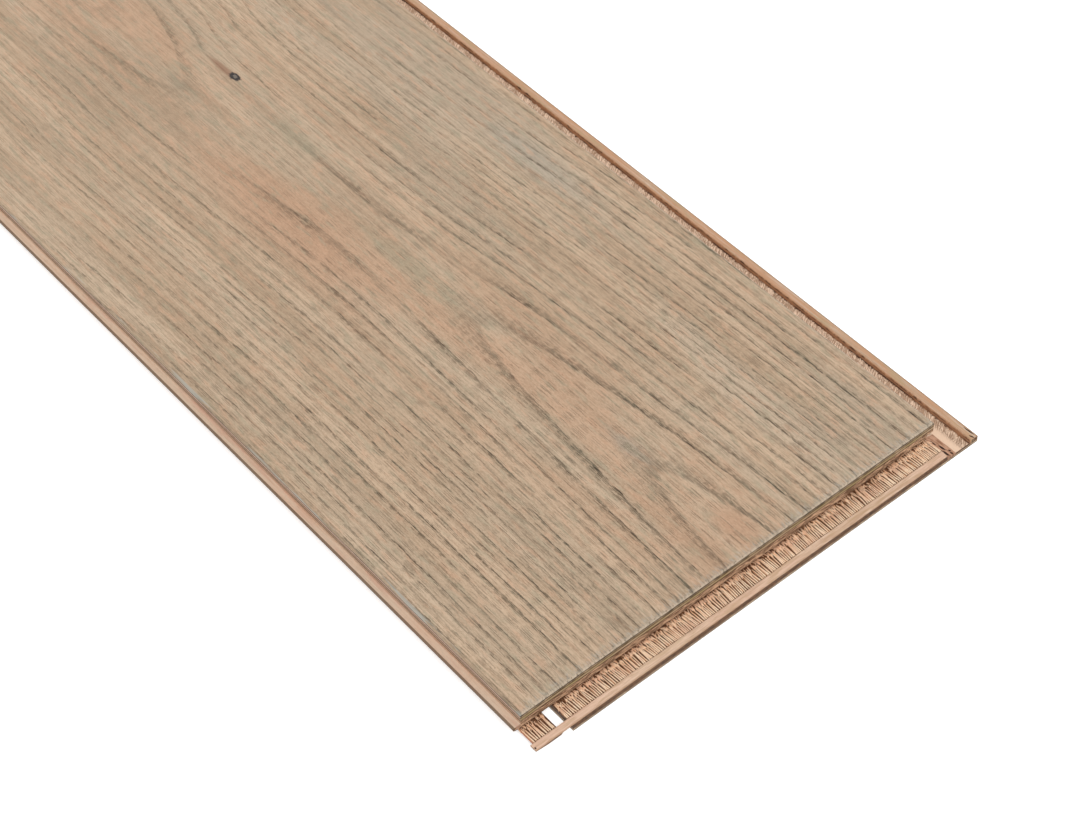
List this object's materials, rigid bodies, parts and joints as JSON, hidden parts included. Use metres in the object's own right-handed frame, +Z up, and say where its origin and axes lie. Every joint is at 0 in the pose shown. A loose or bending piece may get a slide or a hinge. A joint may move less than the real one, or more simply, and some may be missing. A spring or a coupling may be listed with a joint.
{
  "type": "engineered wood floorboard",
  "caption": "Wide engineered plank with an oak face, bevelled edges and a click joint milled on all four sides.",
  "frame": {"origin": "middle of the overall outline, on the underside that lies on the floor", "axes": "+X along the board towards the short end with the locking lip, +Y across it towards the long side with the locking lip, +Z up out of the walking face"},
  "size_m": [1.2308, 0.2078, 0.014],
  "materials": {
    "oak_face": "matt lacquered, lightly brushed oak with grey-filled pores",
    "cross_veneer": "raw milled veneer, grain across the board",
    "long_veneer": "raw milled veneer, grain along the board",
    "backing_veneer": "raw sanded veneer"
  },
  "bodies": {
    "root": {"oak_wear_layer": "oak_face", "thin_ply": "cross_veneer", "tongue_ply": "long_veneer", "cross_ply": "cross_veneer", "end_ridge": "cross_veneer", "long_grain_ply": "long_veneer", "side_strip": "long_veneer", "backing_ply": "backing_veneer"}
  },
  "joints": []
}
